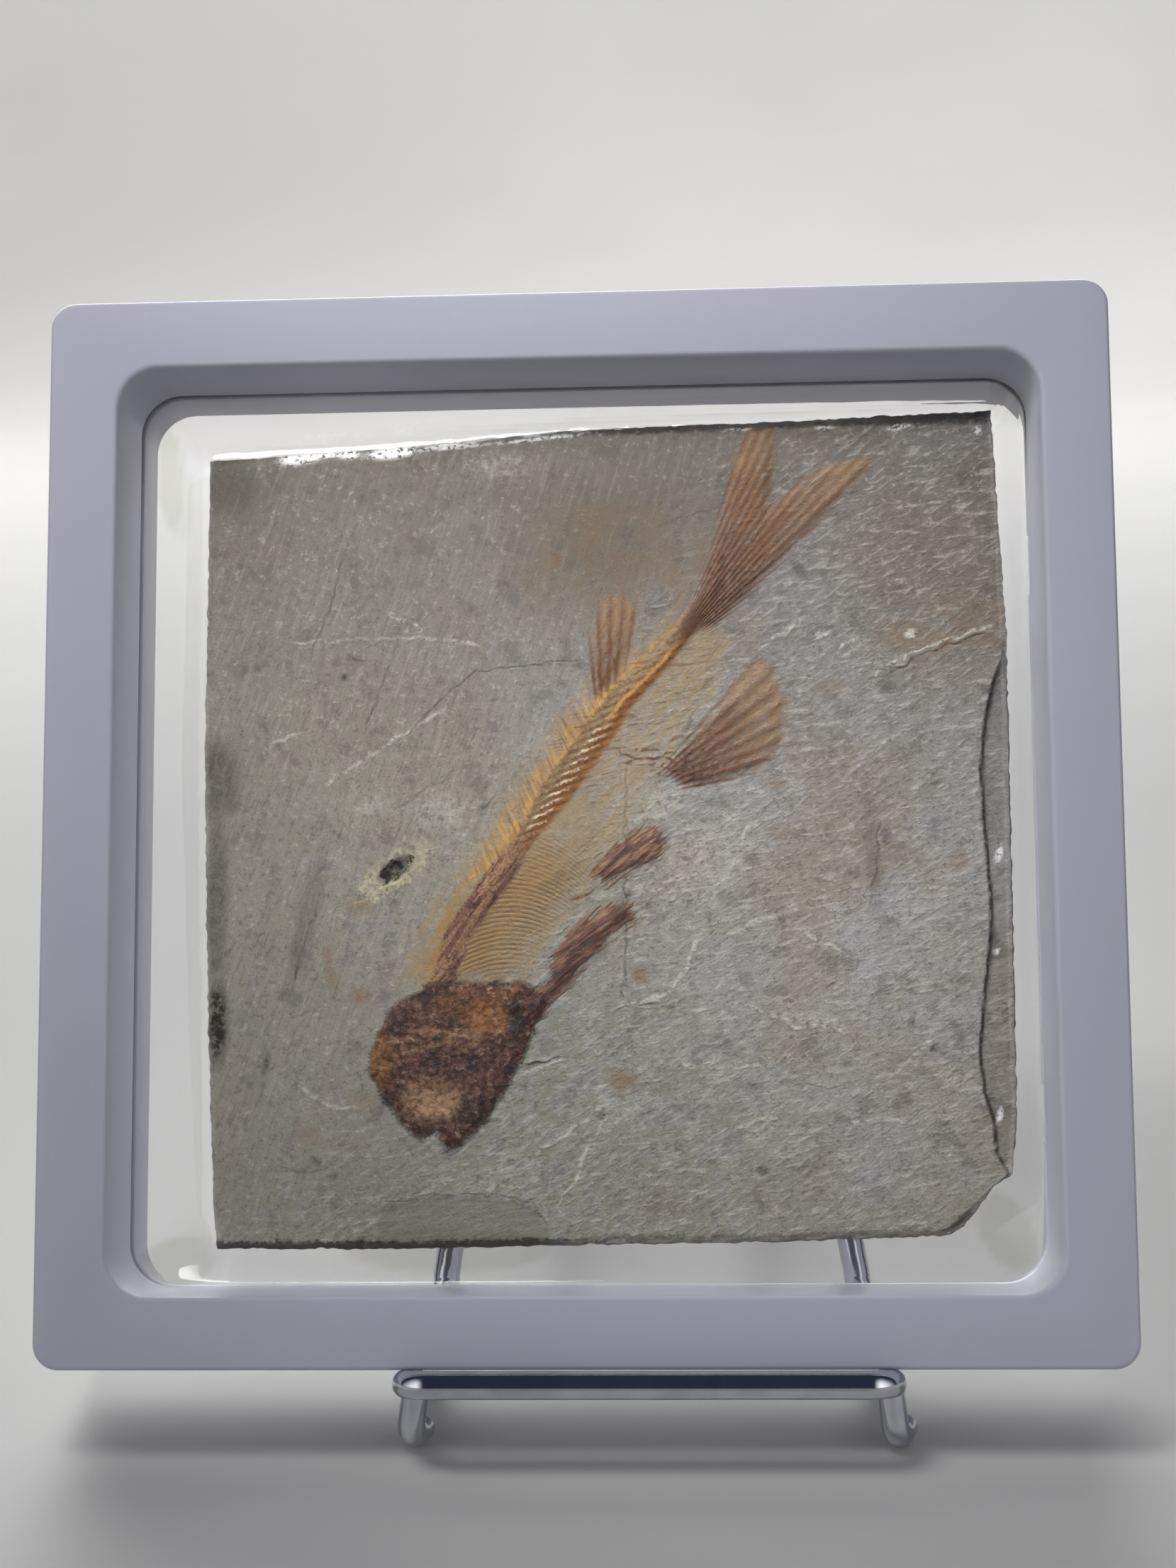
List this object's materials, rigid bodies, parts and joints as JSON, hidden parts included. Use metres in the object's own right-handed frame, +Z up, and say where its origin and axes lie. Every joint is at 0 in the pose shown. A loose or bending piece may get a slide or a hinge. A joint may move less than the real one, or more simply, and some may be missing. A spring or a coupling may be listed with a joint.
{
  "type": "fossil fish slab",
  "caption": "Square stone slab with a fossil fish, held between clear films in a square frame that leans back on a bent-wire easel.",
  "frame": {"origin": "on the floor, under the middle of the whole object", "axes": "+Z up; the front of the frame faces -Y and leans back towards +Y; +X to the right as seen from the front"},
  "size_m": [0.11, 0.073, 0.1137],
  "materials": {
    "stone": "matt split limestone with brown and ochre bone",
    "film": "clear stretched film",
    "frame": "satin lilac-grey moulded plastic",
    "wire": "bright plated wire"
  },
  "bodies": {
    "root": {"slab": "stone", "front_film": "film", "back_film": "film", "frame_front": "frame", "frame_back": "frame", "easel_cradle": "wire", "easel_leg_left": "wire", "easel_leg_right": "wire", "easel_rear_leg": "wire"}
  },
  "joints": []
}
